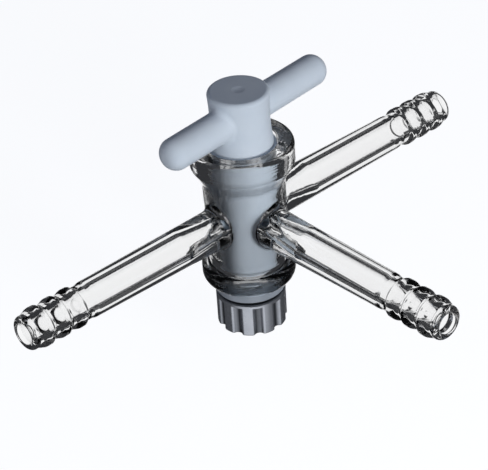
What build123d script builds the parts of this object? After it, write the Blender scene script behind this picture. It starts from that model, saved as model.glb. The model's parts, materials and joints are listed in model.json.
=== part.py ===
from build123d import *
from math import isclose
import os

# Three-way glass stopcock: a clear blown barrel with three hose arms, a white tapered plug with
# a T handle, and the washer, rubber ring and fluted nut that pull the plug into its seat.
# Millimetres, +Z up. The origin is the centre of the nut's bottom face, on the barrel's axis.
# The straight run lies along X and the side branch along -Y.

# Glass barrel
barrel_above_arms = 22.2
barrel_below_arms = 20.5
barrel_top_radius = 11.1
barrel_low_radius = 10.6
top_collar_radius = 13.9
top_collar_height = 6.0
top_collar_round = 1.2
top_collar_low_round = 0.7
top_cove_height = 4.8
top_cove_round = 4.5
bottom_collar_radius = 12.7
bottom_collar_height = 6.6
bottom_collar_round = 1.6
bottom_collar_low_round = 3.4
bottom_cove_round = 1.1

# Ground seat for the plug; the taper is the loss of diameter along the axis
seat_mouth_radius = 9.45
seat_taper_share = 0.1
seat_clearance = 0.05
seat_edge_round = 0.4

# Glass arms, measured from the barrel's axis
run_reach = 74.5
branch_reach = 73.0
arm_root_radius = 5.7
arm_tube_radius = 5.0
arm_root_round = 2.0
arm_bore_radius = 2.8
bore_stop = 14.5
bore_cone_length = 8.5
bore_cone_round = 4.0
port_radius = 2.0

# Hose nozzle at the end of each arm: rounded barbs, gentle towards the tip and steep behind
barb_count = 3
barb_pitch = 5.2
barb_rise = 2.2
barb_land = 1.7
barb_drop = 0.8
barb_radius = 5.5
barb_crest_round = 2.5
barb_back_round = 0.8
groove_radius = 4.7
groove_round = 0.3
neck_length = 2.0
shoulder_length = 1.2
shoulder_round = 3.0
lip_length = 1.8
lip_round = 1.1
mouth_round = 0.7

# Plug with its T handle, moulded and turned as one piece
hub_stand = 0.25
taper_recess = 0.8
taper_end_round = 0.4
plug_end_recess = 3.2
plug_end_round = 0.6
tail_radius = 4.3
thread_depth = 0.5
tail_recess = 1.2
tail_end_round = 0.7
tail_root_round = 0.8
hub_height = 15.0
hub_foot_radius = 8.5
hub_waist_radius = 7.9
hub_waist_share = 0.45
hub_top_radius = 8.3
hub_top_round = 1.0
dimple_radius = 1.8
dimple_depth = 0.15
handle_radius = 4.35
handle_left_reach = 27.7
handle_right_reach = 32.0
handle_rise = 7.9
handle_dome_share = 0.86
handle_blend = 1.6
handle_turn = 5.4

# Washer and rubber ring under the glass
washer_radius = 9.5
washer_thickness = 3.0
washer_round = 0.6
washer_bore_round = 0.3
tail_clearance = 0.3
rubber_bore_radius = 5.3
rubber_radius = 7.9
rubber_height = 2.4
rubber_round = 1.0
rubber_show = 0.7

# Fluted nut
nut_height = 10.0
nut_radius = 9.5
nut_collar_height = 1.0
nut_edge_round = 0.4
nut_thread_clearance = 0.1
nut_pocket_clearance = 0.2
flute_count = 10
flute_radius = 1.3
flute_depth = 1.0
flute_edge_round = 0.8
flute_start = 23.0

# One overrun serves all cuts, and edges are picked by a radius that matches within a share
overrun = 1.0
match_share = 0.001

# Heights that follow from the stack of pieces
washer_bottom = nut_height + rubber_show
barrel_bottom = washer_bottom + washer_thickness
arm_height = barrel_bottom + barrel_below_arms
barrel_top = arm_height + barrel_above_arms
taper_top = barrel_top - taper_recess
hub_foot = barrel_top + hub_stand
hub_top = hub_foot + hub_height
handle_height = barrel_top + handle_rise
nut_pocket_depth = rubber_height - rubber_show
thread_radius = tail_radius + thread_depth


def outline(corners):
    """A flat face from (x, y, round) corners, each with its own corner radius."""
    points = [(x, y) for x, y, _ in corners]
    rounds = [corner_round for _, _, corner_round in corners]
    return make_face(FilletPolyline(*points, radius=rounds, close=True))


def turned(corners):
    """A solid turned about Z from (radius, height, round) corners, with its seam on the bare +Y side."""
    return revolve(Plane.YZ * outline(corners), Axis.Z)


def along_x(corners):
    """A solid turned about X from (distance, radius, round) corners."""
    return revolve(outline(corners), Axis.X)


def arm_places():
    """Each arm's reach and its turn about Z, run first."""
    return [(run_reach, 0), (run_reach, 180), (branch_reach, -90)]


def at_arm(solid, turn):
    """Lift a solid made along X to the arms' height and turn it to its arm."""
    return Pos(0, 0, arm_height) * Rot(0, 0, turn) * solid


def seat_radius(height):
    """Radius of the ground glass seat at a height."""
    return seat_mouth_radius - (barrel_top - height) * seat_taper_share / 2


def plug_radius(height):
    """Radius of the plug's taper at a height, inside the seat by its clearance."""
    return seat_radius(height) - seat_clearance


def barrel():
    low_step = barrel_bottom + bottom_collar_height
    high_step = barrel_top - top_collar_height
    return turned([
        (0, barrel_bottom, 0),
        (bottom_collar_radius, barrel_bottom, bottom_collar_low_round),
        (bottom_collar_radius, low_step, bottom_collar_round),
        (barrel_low_radius, low_step, bottom_cove_round),
        (barrel_top_radius, high_step - top_cove_height, top_cove_round),
        (top_collar_radius, high_step, top_collar_low_round),
        (top_collar_radius, barrel_top, top_collar_round),
        (0, barrel_top, 0),
    ])


def nozzle_corners(reach):
    """Outline of the hose barbs, from the crease where they join the tube to the last groove."""
    corners = []
    for index in reversed(range(barb_count)):
        tip_foot = reach - lip_length - index * barb_pitch
        crest_tip = tip_foot - barb_rise
        crest_back = crest_tip - barb_land
        corners += [
            (crest_back - barb_drop, groove_radius, groove_round),
            (crest_back, barb_radius, barb_back_round),
            (crest_tip, barb_radius, barb_crest_round),
            (tip_foot, groove_radius, groove_round),
        ]
    crease = corners[0][0] - neck_length
    shoulder = crease - shoulder_length
    return [(shoulder, arm_tube_radius, shoulder_round), (crease, groove_radius, 0)] + corners


def arm(reach):
    """One solid glass arm along X, from the barrel's axis to its lip."""
    return along_x([
        (0, 0, 0),
        (0, arm_root_radius, 0),
        *nozzle_corners(reach),
        (reach, groove_radius, lip_round),
        (reach, 0, 0),
    ])


def arm_bore(reach):
    """Port, cone and bore of one arm, as one cutting solid along X."""
    cone_end = bore_stop + bore_cone_length
    return along_x([
        (0, 0, 0),
        (0, port_radius, 0),
        (bore_stop, port_radius, bore_cone_round),
        (cone_end, arm_bore_radius, bore_cone_round),
        (reach + overrun, arm_bore_radius, 0),
        (reach + overrun, 0, 0),
    ])


def rim_near(glass, radius, place):
    """The round edge of one radius that lies nearest to a place."""
    rims = glass.edges().filter_by(GeomType.CIRCLE)
    rims = rims.filter_by(lambda rim: isclose(rim.radius, radius, rel_tol=match_share))
    return rims.sort_by_distance(place)[0]


def glass_body():
    shell = barrel()
    arms = [at_arm(arm(reach), turn) for reach, turn in arm_places()]
    glass = shell + arms
    glass = fillet(new_edges(shell, *arms, combined=glass), arm_root_round)
    for reach, turn in arm_places():
        glass -= at_arm(arm_bore(reach), turn)
        arm_end = at_arm(Pos(reach, 0, 0), turn).position
        glass = fillet(rim_near(glass, arm_bore_radius, arm_end), mouth_round)
    low = barrel_bottom - overrun
    high = barrel_top + overrun
    seat = turned([
        (0, low, 0),
        (seat_radius(low), low, 0),
        (seat_radius(high), high, 0),
        (0, high, 0),
    ])
    glass -= seat
    for height in (barrel_bottom, barrel_top):
        glass = fillet(rim_near(glass, seat_radius(height), (0, 0, height)), seat_edge_round)
    return glass


def plug_hub():
    """The waisted round hub above the taper."""
    waist_height = hub_foot + hub_height * hub_waist_share
    foot = (hub_foot_radius, hub_foot)
    rim = (hub_top_radius, hub_top)
    side = ThreePointArc(foot, (hub_waist_radius, waist_height), rim)
    inside = Polyline(rim, (0, hub_top), (0, hub_foot), foot)
    hub = revolve(Plane.YZ * make_face(side + inside), Axis.Z)
    return fillet(hub.edges().group_by(Axis.Z)[-1], hub_top_round)


def plug_handle():
    """The round T bar with domed ends, along X and a little longer to the right."""
    dome = handle_radius * handle_dome_share
    bar = along_x([
        (-handle_left_reach, 0, 0),
        (-handle_left_reach, handle_radius, dome),
        (handle_right_reach, handle_radius, dome),
        (handle_right_reach, 0, 0),
    ])
    return Pos(0, 0, handle_height) * bar


def plug_port():
    """One leg of the plug's T bore along X, from its axis to past the taper."""
    port_end = seat_mouth_radius + overrun
    return along_x([
        (0, 0, 0),
        (0, port_radius, 0),
        (port_end, port_radius, 0),
        (port_end, 0, 0),
    ])


def plug():
    hub = plug_hub()
    handle = plug_handle()
    grip = hub + handle
    grip = fillet(new_edges(hub, handle, combined=grip), handle_blend)
    dimple_sphere = (dimple_radius ** 2 + dimple_depth ** 2) / (2 * dimple_depth)
    grip -= Pos(0, 0, hub_top - dimple_depth + dimple_sphere) * Sphere(dimple_sphere)
    plug_end = barrel_bottom + plug_end_recess
    taper = turned([
        (0, tail_recess, 0),
        (tail_radius, tail_recess, tail_end_round),
        (tail_radius, plug_end, tail_root_round),
        (plug_radius(plug_end), plug_end, plug_end_round),
        (plug_radius(taper_top), taper_top, taper_end_round),
        (hub_foot_radius, taper_top, 0),
        (hub_foot_radius, hub_foot, 0),
        (0, hub_foot, 0),
    ])
    whole = taper + grip
    for _, turn in arm_places():
        whole -= at_arm(plug_port(), turn)
    return Rot(0, 0, handle_turn) * whole


def washer():
    bore = thread_radius + tail_clearance
    return turned([
        (bore, washer_bottom, washer_bore_round),
        (washer_radius, washer_bottom, washer_round),
        (washer_radius, barrel_bottom, washer_round),
        (bore, barrel_bottom, washer_bore_round),
    ])


def o_ring():
    """The rubber ring, squeezed flat above and below."""
    low = washer_bottom - rubber_height
    return turned([
        (rubber_bore_radius, low, rubber_round),
        (rubber_radius, low, rubber_round),
        (rubber_radius, washer_bottom, rubber_round),
        (rubber_bore_radius, washer_bottom, rubber_round),
    ])


def nut():
    flutes_top = nut_height - nut_collar_height
    flute_centre = nut_radius - flute_depth + flute_radius
    flutes = PolarLocations(flute_centre, flute_count, start_angle=flute_start) * Circle(flute_radius)
    fluted = Circle(nut_radius) - flutes
    fluted = fillet(fluted.vertices(), flute_edge_round)
    grip = extrude(fluted, flutes_top)
    grip = fillet(grip.edges().group_by(Axis.Z)[0], nut_edge_round)
    collar = turned([
        (0, flutes_top, 0),
        (nut_radius, flutes_top, 0),
        (nut_radius, nut_height, nut_edge_round),
        (0, nut_height, 0),
    ])
    bore = thread_radius + nut_thread_clearance
    pocket = rubber_radius + nut_pocket_clearance
    pocket_floor = nut_height - nut_pocket_depth
    inside = turned([
        (0, -overrun, 0),
        (bore, -overrun, 0),
        (bore, pocket_floor, 0),
        (pocket, pocket_floor, 0),
        (pocket, nut_height + overrun, 0),
        (0, nut_height + overrun, 0),
    ])
    return grip + collar - inside


os.makedirs("parts", exist_ok=True)
pieces = {
    "glass_body": glass_body(),
    "plug": plug(),
    "washer": washer(),
    "o_ring": o_ring(),
    "nut": nut(),
}
for name, piece in pieces.items():
    export_step(piece, f"parts/{name}.step")
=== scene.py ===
"""Looks of a three-way glass stopcock: clear blown glass, a white fluoropolymer plug with its T handle,
and the washer, rubber ring and fluted nut that hold the plug in its seat."""

import json
import math

import bmesh
import bpy
from mathutils import Matrix, Vector


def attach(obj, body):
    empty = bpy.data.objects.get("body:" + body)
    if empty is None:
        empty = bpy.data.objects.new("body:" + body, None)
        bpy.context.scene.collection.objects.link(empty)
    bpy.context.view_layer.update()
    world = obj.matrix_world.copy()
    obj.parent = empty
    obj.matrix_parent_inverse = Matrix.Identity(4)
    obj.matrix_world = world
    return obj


# The photograph's view, about the crossing of the arms' axes; degrees, metres and millimetres of lens.
# All other lengths are metres.
VIEW_AZIMUTH = -40.41
VIEW_ELEVATION = 34.05
VIEW_ROLL = -3.80
VIEW_OFFSET = (-0.00049, -0.00619, 0.55527)
SENSOR_WIDTH = 36.0
LENS = 154.24

# The part of its range in which the noise mostly lies, spread over a whole finish
NOISE_RANGE = (0.3, 0.7)

# The nut's flutes, from floor to crest, and the painted shade that darkens the colour down in them
NUT_FLUTES = (0.0085, 0.0095)
NUT_FLUTE_PAINTED_SHADE = (0.14, 0.15, 0.17, 1)

# Soft lamps: name, azimuth to the right of the camera's side, elevation, distance, side, power
LAMPS = [
    ("front_softbox", 18.0, 9.0, 0.70, 0.20, 2.25),
    ("key_softbox", 46.0, 16.0, 0.70, 0.22, 1.45),
]

# Clear glass: how strongly it bends light, and the ripples where the arms are fused on, which start
# outside the seat and fade along the arms
GLASS_IOR = 1.474
ROOT_START = (0.0095, 0.0108)
ROOT_END = (0.022, 0.013)
RIPPLE_DEPTH = 0.00009

# Where the glass collars start above and below the arms, how far out they reach, and the depth of
# their tool lines as a share of the ripples' depth
TOP_COLLAR = (0.0440, 0.0465)
LOW_COLLAR = (0.0215, 0.0200)
COLLAR_RIM = (0.0160, 0.0150)
TOOL_LINE_SHARE = 1.5

# How much lamp light the glass lets through, face on and at its edges, and where one fades into the
# other, counted from 0 face on to 1 edge on
GLASS_FACE_SHADE = (0.97, 0.98, 0.99, 1)
GLASS_EDGE_SHADE = (0.06, 0.06, 0.065, 1)
GLASS_EDGE_REACH = (0.14, 0.44)

# The studio round the object as glass and gloss show it: a white window behind, white cards round the
# other sides and below, black flags between them, and dark above. Edges are angles in degrees, or shares
# of a direction where they are below 1; the gleam is how bright a plain mirror shows the front card.
STUDIO_WHITE = (0.99, 0.993, 1.0, 1)
STUDIO_DARK = (0.032, 0.033, 0.036, 1)
WINDOW_EDGE = (33.0, 35.0)
WINDOW_LEFT = (0.23, 0.18)
WINDOW_RIGHT = (0.36, 0.30)
WINDOW_TOP = (-11.0, -15.0)
WINDOW_FOOT = (-56.0, -52.0)
CARD_TOP = (14.0, 8.0)
FRONT_EDGE = (-0.42, -0.56)
FRONT_GLEAM = 0.32
AHEAD_EDGE = (0.45, 0.60)
SIDE_EDGE = (0.52, 0.60)
SIDE_FOOT = (-44.0, -38.0)
WING_EDGE = (0.60, 0.72)
FOOT_EDGE = (22.0, 28.0)

# How bright the cards are to rays bent by glass, and to rays past both walls of a tube, plain or mirrored
BENT_LEVEL = 0.9
TUBE_WALLS = (3, 4)
TUBE_LEVEL = 0.97
TUBE_ECHO = 0.45

# The white that satin surfaces mirror, in front, behind and at the sides
SHEEN_FRONT_EDGE = (-0.32, -0.76)
SHEEN_EDGE = (0.80, 0.97)
SHEEN_BACK = 0.8
SHEEN_SIDE = 0.35

# The soft light that the studio itself gives: a little from everywhere, more from low down behind and
# from the left, and the share of the first and last that gets into the glass
STUDIO_AMBIENT = (0.085, 0.09, 0.115, 1)
STUDIO_FILL = (0.95, 0.96, 1.0, 1)
FILL_EDGE = (0.15, 0.55)
FILL_TOP = (14.0, 4.0)
FILL_LEFT = 0.55
FILL_LEFT_EDGE = (0.5, 0.9)
AMBIENT_THROUGH = 0.1

# Floor, set lower than the part so that the nut stays clear of it when it is backed right off
FLOOR_SIDE = 3.0
FLOOR_DROP = 0.0085
FLOOR_GLOW = (0.905, 0.915, 0.935, 1)
FLOOR_COLOUR = (0.25, 0.25, 0.255, 1)

# Screw thread on the plug's tail; its run-out is a share of a turn
THREAD_ROOT = 0.00425
THREAD_CREST = 0.0048
THREAD_PITCH = 0.002
THREAD_FOOT_WIDTH = 0.0014
THREAD_CREST_WIDTH = 0.0005
THREAD_LOW = 0.0027
THREAD_HIGH = 0.0155
THREAD_STEPS = 64
THREAD_RUN_OUT = 0.25
THREAD_LEAST_RISE = 0.02

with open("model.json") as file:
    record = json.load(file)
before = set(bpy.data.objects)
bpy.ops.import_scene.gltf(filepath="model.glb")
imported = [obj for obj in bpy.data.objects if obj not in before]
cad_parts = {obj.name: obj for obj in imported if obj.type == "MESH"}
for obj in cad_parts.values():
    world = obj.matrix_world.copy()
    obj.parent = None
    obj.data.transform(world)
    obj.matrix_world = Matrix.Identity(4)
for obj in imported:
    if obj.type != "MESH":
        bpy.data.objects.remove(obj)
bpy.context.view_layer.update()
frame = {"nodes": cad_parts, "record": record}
nodes = frame["nodes"]
mounts = {mount["name"]: mount for mount in frame["record"]["mounts"]}
arm_height = mounts["branch_nozzle"]["pos_m"][2]


def add(tree, kind, **inputs):
    """A new node with its inputs set by name."""
    node = tree.nodes.new(kind)
    for name, value in inputs.items():
        node.inputs[name.replace("_", " ")].default_value = value
    return node


def ramp(tree, value, limits, ends=(0.0, 1.0)):
    """A value that runs from one end at the first limit to the other at the second."""
    node = add(tree, "ShaderNodeMapRange")
    node.inputs["From Min"].default_value = limits[0]
    node.inputs["From Max"].default_value = limits[1]
    node.inputs["To Min"].default_value = ends[0]
    node.inputs["To Max"].default_value = ends[1]
    tree.links.new(value, node.inputs["Value"])
    return node.outputs["Result"]


def combine(tree, operation, first, second=0.0):
    """One operation on two sockets or numbers."""
    node = tree.nodes.new("ShaderNodeMath")
    node.operation = operation
    for socket, value in zip(node.inputs, (first, second)):
        if isinstance(value, (int, float)):
            socket.default_value = value
        else:
            tree.links.new(value, socket)
    return node.outputs["Value"]


def colours_by(tree, factor, first, second):
    """A colour that runs from the first to the second with a factor; each is a colour or a socket."""
    node = add(tree, "ShaderNodeMix")
    node.data_type = "RGBA"
    tree.links.new(factor, node.inputs["Factor"])
    for name, colour in (("A", first), ("B", second)):
        socket = next(entry for entry in node.inputs if entry.name == name and entry.type == "RGBA")
        if isinstance(colour, tuple):
            socket.default_value = colour
        else:
            tree.links.new(colour, socket)
    return next(entry for entry in node.outputs if entry.type == "RGBA")


def uneven_surface():
    """Node group for a surface that isn't quite even: a shade from 0 to 1 and a bumped normal."""
    group = bpy.data.node_groups.new("uneven_surface", "ShaderNodeTree")
    for name, value in (("Scale", 200.0), ("Detail", 3.0), ("Depth", 0.00001)):
        socket = group.interface.new_socket(name, in_out="INPUT", socket_type="NodeSocketFloat")
        socket.default_value = value
    stretch = group.interface.new_socket("Stretch", in_out="INPUT", socket_type="NodeSocketVector")
    stretch.default_value = (1, 1, 1)
    group.interface.new_socket("Shade", in_out="OUTPUT", socket_type="NodeSocketFloat")
    group.interface.new_socket("Normal", in_out="OUTPUT", socket_type="NodeSocketVector")
    given = group.nodes.new("NodeGroupInput")
    result = group.nodes.new("NodeGroupOutput")
    place = add(group, "ShaderNodeTexCoord")
    noise = add(group, "ShaderNodeTexNoise")
    bump = add(group, "ShaderNodeBump")
    spread = add(group, "ShaderNodeVectorMath")
    spread.operation = "MULTIPLY"
    group.links.new(place.outputs["Object"], spread.inputs[0])
    group.links.new(given.outputs["Stretch"], spread.inputs[1])
    group.links.new(spread.outputs["Vector"], noise.inputs["Vector"])
    group.links.new(given.outputs["Scale"], noise.inputs["Scale"])
    group.links.new(given.outputs["Detail"], noise.inputs["Detail"])
    group.links.new(given.outputs["Depth"], bump.inputs["Distance"])
    group.links.new(noise.outputs["Fac"], bump.inputs["Height"])
    group.links.new(noise.outputs["Fac"], result.inputs["Shade"])
    group.links.new(bump.outputs["Normal"], result.inputs["Normal"])
    return group


def add_uneven(tree, scale, detail, depth, stretch=(1, 1, 1)):
    """The uneven surface placed in a material with its own values."""
    node = tree.nodes.new("ShaderNodeGroup")
    node.node_tree = uneven
    node.inputs["Scale"].default_value = scale
    node.inputs["Detail"].default_value = detail
    node.inputs["Depth"].default_value = depth
    node.inputs["Stretch"].default_value = stretch
    return node


def around_axis(tree):
    """Distance from the barrel's axis, and height along it."""
    place = add(tree, "ShaderNodeTexCoord")
    level = add(tree, "ShaderNodeVectorMath")
    level.operation = "MULTIPLY"
    level.inputs[1].default_value = (1, 1, 0)
    tree.links.new(place.outputs["Object"], level.inputs[0])
    reach = add(tree, "ShaderNodeVectorMath")
    reach.operation = "LENGTH"
    tree.links.new(level.outputs["Vector"], reach.inputs[0])
    parts = add(tree, "ShaderNodeSeparateXYZ")
    tree.links.new(place.outputs["Object"], parts.inputs["Vector"])
    return reach.outputs["Value"], parts.outputs["Z"]


def material_with_shader(name):
    """A new node material with its Principled shader, ready for links."""
    material = bpy.data.materials.new(name)
    material.use_nodes = True
    tree = material.node_tree
    shader = next(node for node in tree.nodes if node.type == "BSDF_PRINCIPLED")
    output = next(node for node in tree.nodes if node.type == "OUTPUT_MATERIAL")
    return material, tree, shader, output


def clear_glass():
    """Clear blown glass: slow waves, ripples where the arms are fused on, and lines where the collars
    were turned with a tool."""
    material, tree, shader, output = material_with_shader("clear_glass")
    shader.inputs["Base Color"].default_value = (1.0, 1.0, 1.0, 1)
    shader.inputs["Roughness"].default_value = 0.0
    shader.inputs["IOR"].default_value = GLASS_IOR
    shader.inputs["Transmission Weight"].default_value = 1.0

    waves = add_uneven(tree, scale=130.0, detail=1.0, depth=0.00004)
    ripples = add_uneven(tree, scale=520.0, detail=3.0, depth=0.0)
    tool_lines = add_uneven(tree, scale=900.0, detail=2.0, depth=0.0, stretch=(0.05, 0.05, 1.0))
    reach, height = around_axis(tree)
    fused = combine(tree, "MULTIPLY", ramp(tree, reach, ROOT_START), ramp(tree, reach, ROOT_END))
    collars = combine(tree, "MAXIMUM", ramp(tree, height, TOP_COLLAR), ramp(tree, height, LOW_COLLAR))
    collars = combine(tree, "MULTIPLY", collars, ramp(tree, reach, COLLAR_RIM, (0.0, TOOL_LINE_SHARE)))
    ripples = combine(tree, "MULTIPLY", ripples.outputs["Shade"], fused)
    tool_lines = combine(tree, "MULTIPLY", tool_lines.outputs["Shade"], collars)
    bump = add(tree, "ShaderNodeBump", Distance=RIPPLE_DEPTH)
    tree.links.new(combine(tree, "ADD", ripples, tool_lines), bump.inputs["Height"])
    tree.links.new(waves.outputs["Normal"], bump.inputs["Normal"])
    tree.links.new(bump.outputs["Normal"], shader.inputs["Normal"])

    ray = add(tree, "ShaderNodeLightPath")
    slant = add(tree, "ShaderNodeLayerWeight")
    edge = ramp(tree, slant.outputs["Facing"], GLASS_EDGE_REACH)
    through = add(tree, "ShaderNodeBsdfTransparent")
    shade = colours_by(tree, edge, GLASS_FACE_SHADE, GLASS_EDGE_SHADE)
    tree.links.new(shade, through.inputs["Color"])
    mix = add(tree, "ShaderNodeMixShader")
    tree.links.new(ray.outputs["Is Shadow Ray"], mix.inputs["Fac"])
    tree.links.new(shader.outputs["BSDF"], mix.inputs[1])
    tree.links.new(through.outputs["BSDF"], mix.inputs[2])
    tree.links.new(mix.outputs["Shader"], output.inputs["Surface"])
    return material


def moulded(name, dark, light, roughness, mottling, grain):
    """A moulded finish: two near colours in soft mottling, uneven gloss and a fine grain."""
    material, tree, shader, _ = material_with_shader(name)
    patches = add_uneven(tree, *mottling, depth=0.0)
    skin = add_uneven(tree, *grain)
    blend = ramp(tree, patches.outputs["Shade"], NOISE_RANGE)
    gloss = ramp(tree, skin.outputs["Shade"], NOISE_RANGE, roughness)
    tree.links.new(colours_by(tree, blend, dark, light), shader.inputs["Base Color"])
    tree.links.new(gloss, shader.inputs["Roughness"])
    tree.links.new(skin.outputs["Normal"], shader.inputs["Normal"])
    return material, shader


def white_fluoropolymer():
    """Waxy white plastic that lets a little light into its skin."""
    material, shader = moulded(
        "white_fluoropolymer",
        dark=(0.65, 0.735, 0.83, 1),
        light=(0.71, 0.795, 0.885, 1),
        roughness=(0.38, 0.50),
        mottling=(120.0, 5.0),
        grain=(1500.0, 3.0, 0.000004),
    )
    shader.inputs["Subsurface Weight"].default_value = 0.2
    shader.inputs["Subsurface Radius"].default_value = (1.0, 1.0, 1.0)
    shader.inputs["Subsurface Scale"].default_value = 0.0015
    return material


def pale_grey_plastic():
    """The washer's satin plastic, given a darker grey than the white polymer as painted shade under the
    glass bead.
    """
    material, _ = moulded(
        "pale_grey_plastic",
        # painted shade: a darker grey for the white washer, standing in for the shade under the glass bead
        dark=(0.28, 0.32, 0.37, 1),
        light=(0.36, 0.40, 0.45, 1),
        roughness=(0.32, 0.45),
        mottling=(240.0, 4.0),
        grain=(1800.0, 3.0, 0.000003),
    )
    return material


def black_rubber():
    """Matt black rubber."""
    material, _ = moulded(
        "black_rubber",
        dark=(0.008, 0.008, 0.009, 1),
        light=(0.018, 0.018, 0.02, 1),
        roughness=(0.5, 0.7),
        mottling=(400.0, 4.0),
        grain=(2500.0, 4.0, 0.00002),
    )
    return material


def grey_plastic():
    """The nut's satin grey plastic with a metallic sheen, and painted shade that darkens it down in the
    flutes.
    """
    material, shader = moulded(
        "grey_plastic",
        dark=(0.50, 0.53, 0.59, 1),
        light=(0.56, 0.59, 0.65, 1),
        roughness=(0.27, 0.33),
        mottling=(160.0, 2.0),
        grain=(700.0, 1.0, 0.0000015),
    )
    shader.inputs["Metallic"].default_value = 0.9
    tree = material.node_tree
    # painted shade: the base colour darkens towards the flute floors, by distance from the nut's axis
    reach, _ = around_axis(tree)
    colour = shader.inputs["Base Color"].links[0].from_socket
    shaded = colours_by(tree, ramp(tree, reach, NUT_FLUTES), NUT_FLUTE_PAINTED_SHADE, colour)
    tree.links.new(shaded, shader.inputs["Base Color"])
    return material


def dress(node, material):
    """Give a CAD node its finish."""
    slots = nodes[node].data.materials
    slots.clear()
    slots.append(material)


def thread_corners(height, rise):
    """One cross-section of the thread's ridge, as radius and height, with the crest raised by a share."""
    crest = THREAD_ROOT + (THREAD_CREST - THREAD_ROOT) * rise
    return [
        (THREAD_ROOT, height - THREAD_FOOT_WIDTH / 2),
        (crest, height - THREAD_CREST_WIDTH / 2),
        (crest, height + THREAD_CREST_WIDTH / 2),
        (THREAD_ROOT, height + THREAD_FOOT_WIDTH / 2),
    ]


def plug_thread(material):
    """The right-hand screw thread round the plug's tail, which runs out smoothly at both ends."""
    mesh = bpy.data.meshes.new("plug_thread")
    build = bmesh.new()
    turns = (THREAD_HIGH - THREAD_LOW) / THREAD_PITCH
    count = round(turns * THREAD_STEPS)
    run_out = THREAD_RUN_OUT * THREAD_STEPS
    rings = []
    for step in range(count + 1):
        angle = 2 * math.pi * step / THREAD_STEPS
        height = THREAD_LOW + THREAD_PITCH * step / THREAD_STEPS
        rise = min(1.0, step / run_out, (count - step) / run_out)
        corners = thread_corners(height, max(rise, THREAD_LEAST_RISE))
        rings.append([
            build.verts.new((radius * math.cos(angle), radius * math.sin(angle), level))
            for radius, level in corners
        ])
    for ring, following in zip(rings, rings[1:]):
        for corner in range(4):
            neighbour = (corner + 1) % 4
            build.faces.new((ring[corner], following[corner], following[neighbour], ring[neighbour]))
    build.faces.new(rings[0])
    build.faces.new(reversed(rings[-1]))
    bmesh.ops.recalc_face_normals(build, faces=build.faces)
    build.to_mesh(mesh)
    build.free()
    mesh.materials.append(material)
    thread = bpy.data.objects.new("plug_thread", mesh)
    bpy.context.scene.collection.objects.link(thread)
    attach(thread, "plug")
    return thread


def aimed(azimuth, elevation, roll=0.0):
    """A turn that looks at the object from an azimuth and elevation."""
    return (
        Matrix.Rotation(math.radians(azimuth), 3, "Z")
        @ Matrix.Rotation(math.radians(90 - elevation), 3, "X")
        @ Matrix.Rotation(math.radians(roll), 3, "Z")
    )


def set_up(name, data, turn, offset):
    """An object placed off the crossing of the arms' axes and turned towards it."""
    thing = bpy.data.objects.new(name, data)
    bpy.context.scene.collection.objects.link(thing)
    place = Vector((0, 0, arm_height)) + turn @ Vector(offset)
    thing.matrix_world = Matrix.Translation(place) @ turn.to_4x4()
    return thing


def photo_camera():
    """The camera at the photograph's view."""
    data = bpy.data.cameras.new("photo_camera")
    data.sensor_width = SENSOR_WIDTH
    data.lens = LENS
    turn = aimed(VIEW_AZIMUTH, VIEW_ELEVATION, VIEW_ROLL)
    bpy.context.scene.camera = set_up("photo_camera", data, turn, VIEW_OFFSET)


def softbox(name, azimuth, elevation, distance, side, power):
    """A square soft lamp that faces the object."""
    data = bpy.data.lights.new(name, "AREA")
    data.size = side
    data.energy = power
    lamp = set_up(name, data, aimed(VIEW_AZIMUTH + azimuth, elevation), (0, 0, distance))
    lamp.visible_transmission = False
    lamp.visible_glossy = False


def pale_floor():
    """A white floor that glows for the camera and keeps a soft shadow."""
    material, tree, shader, output = material_with_shader("pale_floor")
    tree.nodes.remove(shader)
    diffuse = add(tree, "ShaderNodeBsdfDiffuse", Color=FLOOR_COLOUR)
    glow = add(tree, "ShaderNodeEmission", Color=FLOOR_GLOW)
    ray = add(tree, "ShaderNodeLightPath")
    both = add(tree, "ShaderNodeAddShader")
    tree.links.new(ray.outputs["Is Camera Ray"], glow.inputs["Strength"])
    tree.links.new(diffuse.outputs[0], both.inputs[0])
    tree.links.new(glow.outputs[0], both.inputs[1])
    tree.links.new(both.outputs[0], output.inputs["Surface"])
    mesh = bpy.data.meshes.new("floor")
    half = FLOOR_SIDE / 2
    corners = [(-half, -half), (half, -half), (half, half), (-half, half)]
    mesh.from_pydata([(x, y, -FLOOR_DROP) for x, y in corners], [], [(0, 1, 2, 3)])
    mesh.materials.append(material)
    floor = bpy.data.objects.new("floor", mesh)
    bpy.context.scene.collection.objects.link(floor)
    floor.visible_transmission = False
    floor.visible_glossy = False
    floor.visible_diffuse = False


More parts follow.
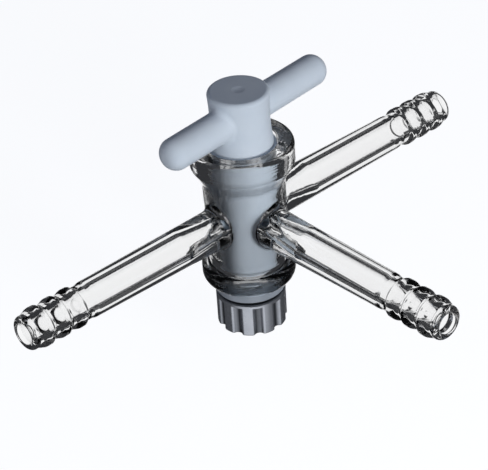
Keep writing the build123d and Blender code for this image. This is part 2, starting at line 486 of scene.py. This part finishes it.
def studio_world():
    """White cards and black flags round the object, and plain white for the camera."""
    world = bpy.data.worlds.new("studio")
    bpy.context.scene.world = world
    world.use_nodes = True
    tree = world.node_tree
    tree.nodes.clear()
    place = add(tree, "ShaderNodeTexCoord")
    ray = add(tree, "ShaderNodeLightPath")

    # the way the photograph looks: level, tilted down as the camera is, and to the right
    up = Vector((0, 0, 1))
    level = Matrix.Rotation(math.radians(VIEW_AZIMUTH), 3, "Z") @ Vector((0, 1, 0))
    tilt = math.radians(VIEW_ELEVATION)
    ahead = level * math.cos(tilt) - up * math.sin(tilt)
    right = level.cross(up)

    def along(axis):
        """How far the ray lies along an axis."""
        node = add(tree, "ShaderNodeVectorMath")
        node.operation = "DOT_PRODUCT"
        node.inputs[1].default_value = axis
        tree.links.new(place.outputs["Generated"], node.inputs[0])
        return node.outputs["Value"]

    def cone(axis, edge):
        """1 within the first angle of an axis and 0 past the second."""
        return ramp(tree, along(axis), [math.cos(math.radians(angle)) for angle in reversed(edge)])

    def by_height(angles):
        """0 at the first elevation and past it, and 1 from the second on."""
        return ramp(tree, along(up), [math.sin(math.radians(angle)) for angle in angles])

    def chain(operation, *values):
        """One operation over several masks or levels."""
        result = values[0]
        for value in values[1:]:
            result = combine(tree, operation, result, value)
        return result

    def product(*values):
        """Masks and levels multiplied."""
        return chain("MULTIPLY", *values)

    def largest(*values):
        """The largest of several masks."""
        return chain("MAXIMUM", *values)

    # how a ray came here: bent by glass but not mirrored, past a tube's two walls, or off a satin surface
    mirrored = ray.outputs["Glossy Depth"]
    bent = product(ray.outputs["Is Transmission Ray"], ramp(tree, mirrored, (0, 1), (BENT_LEVEL, 0.0)))
    past_tube = product(
        ramp(tree, ray.outputs["Transmission Depth"], TUBE_WALLS),
        ramp(tree, mirrored, (0, 1), (TUBE_LEVEL, TUBE_ECHO)),
    )
    sharp = ray.outputs["Is Singular Ray"]
    satin = combine(tree, "SUBTRACT", 1.0, sharp)

    window = product(
        cone(ahead, WINDOW_EDGE),
        ramp(tree, along(-right), WINDOW_LEFT),
        ramp(tree, along(right), WINDOW_RIGHT),
        by_height(WINDOW_FOOT),
    )
    sideways = combine(tree, "ABSOLUTE", along(right))
    sheen = product(satin, largest(
        ramp(tree, along(level), SHEEN_FRONT_EDGE),
        product(ramp(tree, along(level), SHEEN_EDGE), SHEEN_BACK),
        product(ramp(tree, sideways, SHEEN_EDGE), SHEEN_SIDE),
    ))
    cards = largest(
        product(ramp(tree, along(level), FRONT_EDGE), sharp, largest(bent, past_tube, FRONT_GLEAM)),
        product(ramp(tree, along(level), AHEAD_EDGE), by_height(SIDE_FOOT), past_tube),
        product(ramp(tree, sideways, SIDE_EDGE), by_height(SIDE_FOOT), past_tube),
        product(ramp(tree, sideways, WING_EDGE), bent),
        product(cone(-up, FOOT_EDGE), largest(bent, past_tube)),
    )
    white = largest(
        product(largest(window, sheen), by_height(WINDOW_TOP)),
        product(cards, by_height(CARD_TOP)),
    )
    seen = colours_by(tree, white, STUDIO_DARK, STUDIO_WHITE)

    in_glass = tuple(channel * AMBIENT_THROUGH for channel in STUDIO_AMBIENT)
    ambient = colours_by(tree, ray.outputs["Is Transmission Ray"], STUDIO_AMBIENT, in_glass)
    left = ramp(tree, ray.outputs["Is Transmission Ray"], (0, 1), (FILL_LEFT, FILL_LEFT * AMBIENT_THROUGH))
    fill = largest(
        ramp(tree, along(level), FILL_EDGE),
        product(ramp(tree, along(-right), FILL_LEFT_EDGE), left),
    )
    light = colours_by(tree, product(fill, by_height(FILL_TOP)), ambient, STUDIO_FILL)
    scattered = ramp(tree, ray.outputs["Diffuse Depth"], (0, 1))
    round_about = colours_by(tree, scattered, seen, light)
    studio = colours_by(tree, ray.outputs["Is Camera Ray"], round_about, STUDIO_WHITE)
    back = add(tree, "ShaderNodeBackground")
    tree.links.new(studio, back.inputs["Color"])
    output = add(tree, "ShaderNodeOutputWorld")
    tree.links.new(back.outputs[0], output.inputs["Surface"])


uneven = uneven_surface()
polymer = white_fluoropolymer()
dress("glass_body", clear_glass())
dress("plug", polymer)
dress("washer", pale_grey_plastic())
dress("o_ring", black_rubber())
dress("nut", grey_plastic())
plug_thread(polymer)

photo_camera()
for lamp_settings in LAMPS:
    softbox(*lamp_settings)
pale_floor()
studio_world()
bpy.context.scene.view_settings.view_transform = "Standard"
